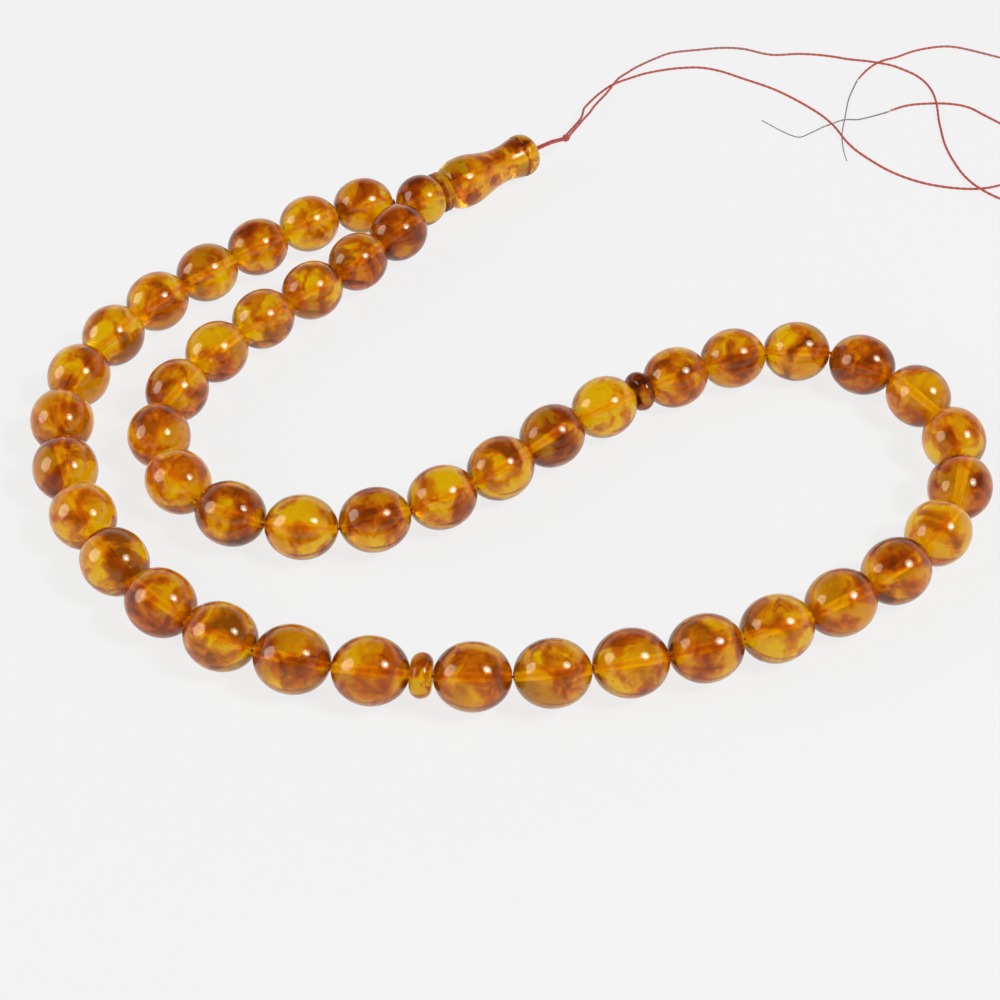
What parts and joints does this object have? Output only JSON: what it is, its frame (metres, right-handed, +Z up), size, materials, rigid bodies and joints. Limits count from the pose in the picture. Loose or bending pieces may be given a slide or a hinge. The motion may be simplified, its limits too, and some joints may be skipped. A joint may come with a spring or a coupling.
{
  "type": "misbaha prayer beads",
  "caption": "Loop of round translucent amber-coloured prayer beads with small divider discs, a turned leader with ball and disc, and a knotted red thread with long loose tails.",
  "frame": {"origin": "middle of the beads' and leader's bounding box, on the surface they lie on", "axes": "+X across the loop's longer side, +Y from the loop's far bend towards the leader and its tails, +Z up from the surface"},
  "size_m": [0.1941, 0.1849, 0.0097],
  "materials": {
    "bead_01": "polished, cloudy translucent amber",
    "bead_02": "polished, cloudy translucent amber",
    "bead_03": "polished, cloudy translucent amber",
    "bead_04": "polished, cloudy translucent amber",
    "bead_05": "polished, cloudy translucent amber",
    "bead_06": "polished, cloudy translucent amber",
    "bead_07": "polished, cloudy translucent amber",
    "bead_08": "polished, cloudy translucent amber",
    "bead_09": "polished, cloudy translucent amber",
    "bead_10": "polished, cloudy translucent amber",
    "bead_11": "polished, cloudy translucent amber",
    "bead_12": "polished, cloudy translucent amber",
    "bead_13": "polished, cloudy translucent amber",
    "bead_14": "polished, cloudy translucent amber",
    "bead_15": "polished, cloudy translucent amber",
    "bead_16": "polished, cloudy translucent amber",
    "bead_17": "polished, cloudy translucent amber",
    "bead_18": "polished, cloudy translucent amber",
    "bead_19": "polished, cloudy translucent amber",
    "bead_20": "polished, cloudy translucent amber",
    "bead_21": "polished, cloudy translucent amber",
    "bead_22": "polished, cloudy translucent amber",
    "bead_23": "polished, cloudy translucent amber",
    "bead_24": "polished, cloudy translucent amber",
    "bead_25": "polished, cloudy translucent amber",
    "bead_26": "polished, cloudy translucent amber",
    "bead_27": "polished, cloudy translucent amber",
    "bead_28": "polished, cloudy translucent amber",
    "bead_29": "polished, cloudy translucent amber",
    "bead_30": "polished, cloudy translucent amber",
    "bead_31": "polished, cloudy translucent amber",
    "bead_32": "polished, cloudy translucent amber",
    "bead_33": "polished, cloudy translucent amber",
    "bead_34": "polished, cloudy translucent amber",
    "bead_35": "polished, cloudy translucent amber",
    "bead_36": "polished, cloudy translucent amber",
    "bead_37": "polished, cloudy translucent amber",
    "bead_38": "polished, cloudy translucent amber",
    "bead_39": "polished, cloudy translucent amber",
    "bead_40": "polished, cloudy translucent amber",
    "bead_41": "polished, cloudy translucent amber",
    "bead_42": "polished, cloudy translucent amber",
    "bead_43": "polished, cloudy translucent amber",
    "bead_44": "polished, cloudy translucent amber",
    "bead_45": "polished, cloudy translucent amber",
    "divider_disc_1": "polished, cloudy translucent amber",
    "divider_disc_2": "polished, cloudy translucent amber",
    "leader_ball": "polished, cloudy translucent amber",
    "leader_disc": "polished, cloudy translucent amber",
    "imame": "polished, cloudy translucent amber",
    "loop_thread": "waxed red thread",
    "knot": "waxed red thread",
    "tail_a": "waxed red thread",
    "tail_b": "waxed red thread",
    "tip_a": "waxed thread, stiffened at the ends",
    "tip_b": "waxed thread, stiffened at the ends"
  },
  "bodies": {
    "thread": {"loop_thread": "loop_thread", "knot": "knot", "tail_a": "tail_a", "tail_b": "tail_b", "tip_a": "tip_a", "tip_b": "tip_b"},
    "leader_disc": {"leader_disc": "leader_disc"},
    "imame": {"imame": "imame"},
    "leader_ball": {"leader_ball": "leader_ball"},
    "divider_disc_1": {"divider_disc_1": "divider_disc_1"},
    "divider_disc_2": {"divider_disc_2": "divider_disc_2"},
    "bead_01": {"bead_01": "bead_01"},
    "bead_02": {"bead_02": "bead_02"},
    "bead_03": {"bead_03": "bead_03"},
    "bead_04": {"bead_04": "bead_04"},
    "bead_05": {"bead_05": "bead_05"},
    "bead_06": {"bead_06": "bead_06"},
    "bead_07": {"bead_07": "bead_07"},
    "bead_08": {"bead_08": "bead_08"},
    "bead_09": {"bead_09": "bead_09"},
    "bead_10": {"bead_10": "bead_10"},
    "bead_11": {"bead_11": "bead_11"},
    "bead_12": {"bead_12": "bead_12"},
    "bead_13": {"bead_13": "bead_13"},
    "bead_14": {"bead_14": "bead_14"},
    "bead_15": {"bead_15": "bead_15"},
    "bead_16": {"bead_16": "bead_16"},
    "bead_17": {"bead_17": "bead_17"},
    "bead_18": {"bead_18": "bead_18"},
    "bead_19": {"bead_19": "bead_19"},
    "bead_20": {"bead_20": "bead_20"},
    "bead_21": {"bead_21": "bead_21"},
    "bead_22": {"bead_22": "bead_22"},
    "bead_23": {"bead_23": "bead_23"},
    "bead_24": {"bead_24": "bead_24"},
    "bead_25": {"bead_25": "bead_25"},
    "bead_26": {"bead_26": "bead_26"},
    "bead_27": {"bead_27": "bead_27"},
    "bead_28": {"bead_28": "bead_28"},
    "bead_29": {"bead_29": "bead_29"},
    "bead_30": {"bead_30": "bead_30"},
    "bead_31": {"bead_31": "bead_31"},
    "bead_32": {"bead_32": "bead_32"},
    "bead_33": {"bead_33": "bead_33"},
    "bead_34": {"bead_34": "bead_34"},
    "bead_35": {"bead_35": "bead_35"},
    "bead_36": {"bead_36": "bead_36"},
    "bead_37": {"bead_37": "bead_37"},
    "bead_38": {"bead_38": "bead_38"},
    "bead_39": {"bead_39": "bead_39"},
    "bead_40": {"bead_40": "bead_40"},
    "bead_41": {"bead_41": "bead_41"},
    "bead_42": {"bead_42": "bead_42"},
    "bead_43": {"bead_43": "bead_43"},
    "bead_44": {"bead_44": "bead_44"},
    "bead_45": {"bead_45": "bead_45"}
  },
  "joints": [
    {"name": "leader_slide", "type": "slide", "parent": "thread", "child": "leader_disc", "axis": [0.7547, 0.6561, 0], "range_m": [0, 0.0069]},
    {"name": "imame_spin", "type": "hinge", "parent": "leader_disc", "child": "imame", "pos_m": [-0.0128, 0.05046, 0.00495], "axis": [0.7547, 0.6561, 0], "continuous": true},
    {"name": "leader_ball_spin", "type": "hinge", "parent": "leader_disc", "child": "leader_ball", "pos_m": [-0.0169, 0.0469, 0.00495], "axis": [0.7547, 0.6561, 0], "continuous": true},
    {"name": "divider_disc_1_spin", "type": "hinge", "parent": "thread", "child": "divider_disc_1", "pos_m": [-0.01099, -0.06462, 0.00495], "axis": [0.9981, -0.061, 0], "continuous": true},
    {"name": "divider_disc_2_spin", "type": "hinge", "parent": "thread", "child": "divider_disc_2", "pos_m": [0.02087, -0.00394, 0.00495], "axis": [-0.844, -0.5364, 0], "continuous": true},
    {"name": "bead_01_spin", "type": "hinge", "parent": "thread", "child": "bead_01", "pos_m": [-0.0273, 0.04485, 0.00495], "axis": [-0.8871, -0.4616, 0], "continuous": true},
    {"name": "bead_02_spin", "type": "hinge", "parent": "thread", "child": "bead_02", "pos_m": [-0.03646, 0.0388, 0.00495], "axis": [-0.7733, -0.634, 0], "continuous": true},
    {"name": "bead_03_spin", "type": "hinge", "parent": "thread", "child": "bead_03", "pos_m": [-0.0447, 0.03147, 0.00495], "axis": [-0.719, -0.695, 0], "continuous": true},
    {"name": "bead_04_spin", "type": "hinge", "parent": "thread", "child": "bead_04", "pos_m": [-0.05252, 0.02371, 0.00495], "axis": [-0.7001, -0.7141, 0], "continuous": true},
    {"name": "bead_05_spin", "type": "hinge", "parent": "thread", "child": "bead_05", "pos_m": [-0.05974, 0.01539, 0.00495], "axis": [-0.6085, -0.7936, 0], "continuous": true},
    {"name": "bead_06_spin", "type": "hinge", "parent": "thread", "child": "bead_06", "pos_m": [-0.06554, 0.00604, 0.00495], "axis": [-0.4416, -0.8972, 0], "continuous": true},
    {"name": "bead_07_spin", "type": "hinge", "parent": "thread", "child": "bead_07", "pos_m": [-0.06925, -0.00434, 0.00495], "axis": [-0.2267, -0.974, 0], "continuous": true},
    {"name": "bead_08_spin", "type": "hinge", "parent": "thread", "child": "bead_08", "pos_m": [-0.0698, -0.01527, 0.00495], "axis": [0.1264, -0.992, 0], "continuous": true},
    {"name": "bead_09_spin", "type": "hinge", "parent": "thread", "child": "bead_09", "pos_m": [-0.06721, -0.02599, 0.00495], "axis": [0.3421, -0.9397, 0], "continuous": true},
    {"name": "bead_10_spin", "type": "hinge", "parent": "thread", "child": "bead_10", "pos_m": [-0.06261, -0.036, 0.00495], "axis": [0.4901, -0.8717, 0], "continuous": true},
    {"name": "bead_11_spin", "type": "hinge", "parent": "thread", "child": "bead_11", "pos_m": [-0.05635, -0.04505, 0.00495], "axis": [0.6422, -0.7666, 0], "continuous": true},
    {"name": "bead_12_spin", "type": "hinge", "parent": "thread", "child": "bead_12", "pos_m": [-0.04848, -0.05275, 0.00495], "axis": [0.7814, -0.6241, 0], "continuous": true},
    {"name": "bead_13_spin", "type": "hinge", "parent": "thread", "child": "bead_13", "pos_m": [-0.03923, -0.05872, 0.00495], "axis": [0.89, -0.456, 0], "continuous": true},
    {"name": "bead_14_spin", "type": "hinge", "parent": "thread", "child": "bead_14", "pos_m": [-0.02889, -0.06243, 0.00495], "axis": [0.9769, -0.2139, 0], "continuous": true},
    {"name": "bead_15_spin", "type": "hinge", "parent": "thread", "child": "bead_15", "pos_m": [-0.01799, -0.06407, 0.00495], "axis": [0.9966, -0.0829, 0], "continuous": true},
    {"name": "bead_16_spin", "type": "hinge", "parent": "thread", "child": "bead_16", "pos_m": [-0.00398, -0.06455, 0.00495], "axis": [0.9996, 0.0298, 0], "continuous": true},
    {"name": "bead_17_spin", "type": "hinge", "parent": "thread", "child": "bead_17", "pos_m": [0.00698, -0.06348, 0.00495], "axis": [0.9866, 0.1634, 0], "continuous": true},
    {"name": "bead_18_spin", "type": "hinge", "parent": "thread", "child": "bead_18", "pos_m": [0.01776, -0.06122, 0.00495], "axis": [0.969, 0.247, 0], "continuous": true},
    {"name": "bead_19_spin", "type": "hinge", "parent": "thread", "child": "bead_19", "pos_m": [0.02832, -0.0581, 0.00495], "axis": [0.9479, 0.3187, 0], "continuous": true},
    {"name": "bead_20_spin", "type": "hinge", "parent": "thread", "child": "bead_20", "pos_m": [0.03856, -0.05404, 0.00495], "axis": [0.9082, 0.4186, 0], "continuous": true},
    {"name": "bead_21_spin", "type": "hinge", "parent": "thread", "child": "bead_21", "pos_m": [0.04819, -0.04871, 0.00495], "axis": [0.8374, 0.5465, 0], "continuous": true},
    {"name": "bead_22_spin", "type": "hinge", "parent": "thread", "child": "bead_22", "pos_m": [0.05701, -0.0421, 0.00495], "axis": [0.7593, 0.6507, 0], "continuous": true},
    {"name": "bead_23_spin", "type": "hinge", "parent": "thread", "child": "bead_23", "pos_m": [0.06439, -0.03394, 0.00495], "axis": [0.5721, 0.8202, 0], "continuous": true},
    {"name": "bead_24_spin", "type": "hinge", "parent": "thread", "child": "bead_24", "pos_m": [0.06921, -0.02403, 0.00495], "axis": [0.2937, 0.9559, 0], "continuous": true},
    {"name": "bead_25_spin", "type": "hinge", "parent": "thread", "child": "bead_25", "pos_m": [0.07002, -0.01311, 0.00495], "axis": [-0.1486, 0.9889, 0], "continuous": true},
    {"name": "bead_26_spin", "type": "hinge", "parent": "thread", "child": "bead_26", "pos_m": [0.0659, -0.00297, 0.00495], "axis": [-0.5826, 0.8127, 0], "continuous": true},
    {"name": "bead_27_spin", "type": "hinge", "parent": "thread", "child": "bead_27", "pos_m": [0.05776, 0.00446, 0.00495], "axis": [-0.8625, 0.506, 0], "continuous": true},
    {"name": "bead_28_spin", "type": "hinge", "parent": "thread", "child": "bead_28", "pos_m": [0.04724, 0.00737, 0.00495], "axis": [-1, 0.0092, 0], "continuous": true},
    {"name": "bead_29_spin", "type": "hinge", "parent": "thread", "child": "bead_29", "pos_m": [0.03654, 0.00507, 0.00495], "axis": [-0.9069, -0.4214, 0], "continuous": true},
    {"name": "bead_30_spin", "type": "hinge", "parent": "thread", "child": "bead_30", "pos_m": [0.02682, -0.0002, 0.00495], "axis": [-0.8471, -0.5315, 0], "continuous": true},
    {"name": "bead_31_spin", "type": "hinge", "parent": "thread", "child": "bead_31", "pos_m": [0.01516, -0.00802, 0.00495], "axis": [-0.8056, -0.5925, 0], "continuous": true},
    {"name": "bead_32_spin", "type": "hinge", "parent": "thread", "child": "bead_32", "pos_m": [0.00684, -0.01521, 0.00495], "axis": [-0.703, -0.7111, 0], "continuous": true},
    {"name": "bead_33_spin", "type": "hinge", "parent": "thread", "child": "bead_33", "pos_m": [-0.00106, -0.02291, 0.00495], "axis": [-0.7289, -0.6847, 0], "continuous": true},
    {"name": "bead_34_spin", "type": "hinge", "parent": "thread", "child": "bead_34", "pos_m": [-0.00971, -0.0297, 0.00495], "axis": [-0.838, -0.5457, 0], "continuous": true},
    {"name": "bead_35_spin", "type": "hinge", "parent": "thread", "child": "bead_35", "pos_m": [-0.01946, -0.03492, 0.00495], "axis": [-0.9187, -0.3949, 0], "continuous": true},
    {"name": "bead_36_spin", "type": "hinge", "parent": "thread", "child": "bead_36", "pos_m": [-0.03019, -0.03695, 0.00495], "axis": [-0.9995, 0.0302, 0], "continuous": true},
    {"name": "bead_37_spin", "type": "hinge", "parent": "thread", "child": "bead_37", "pos_m": [-0.04096, -0.03458, 0.00495], "axis": [-0.9201, 0.3917, 0], "continuous": true},
    {"name": "bead_38_spin", "type": "hinge", "parent": "thread", "child": "bead_38", "pos_m": [-0.04973, -0.02801, 0.00495], "axis": [-0.6358, 0.7719, 0], "continuous": true},
    {"name": "bead_39_spin", "type": "hinge", "parent": "thread", "child": "bead_39", "pos_m": [-0.0542, -0.01802, 0.00495], "axis": [-0.1529, 0.9882, 0], "continuous": true},
    {"name": "bead_40_spin", "type": "hinge", "parent": "thread", "child": "bead_40", "pos_m": [-0.053, -0.0072, 0.00495], "axis": [0.3677, 0.9299, 0], "continuous": true},
    {"name": "bead_41_spin", "type": "hinge", "parent": "thread", "child": "bead_41", "pos_m": [-0.04802, 0.0027, 0.00495], "axis": [0.5292, 0.8485, 0], "continuous": true},
    {"name": "bead_42_spin", "type": "hinge", "parent": "thread", "child": "bead_42", "pos_m": [-0.04147, 0.01154, 0.00495], "axis": [0.6583, 0.7528, 0], "continuous": true},
    {"name": "bead_43_spin", "type": "hinge", "parent": "thread", "child": "bead_43", "pos_m": [-0.03407, 0.01972, 0.00495], "axis": [0.6833, 0.7301, 0], "continuous": true},
    {"name": "bead_44_spin", "type": "hinge", "parent": "thread", "child": "bead_44", "pos_m": [-0.02695, 0.02811, 0.00495], "axis": [0.6089, 0.7932, 0], "continuous": true},
    {"name": "bead_45_spin", "type": "hinge", "parent": "thread", "child": "bead_45", "pos_m": [-0.02042, 0.03699, 0.00495], "axis": [0.5764, 0.8172, 0], "continuous": true}
  ]
}
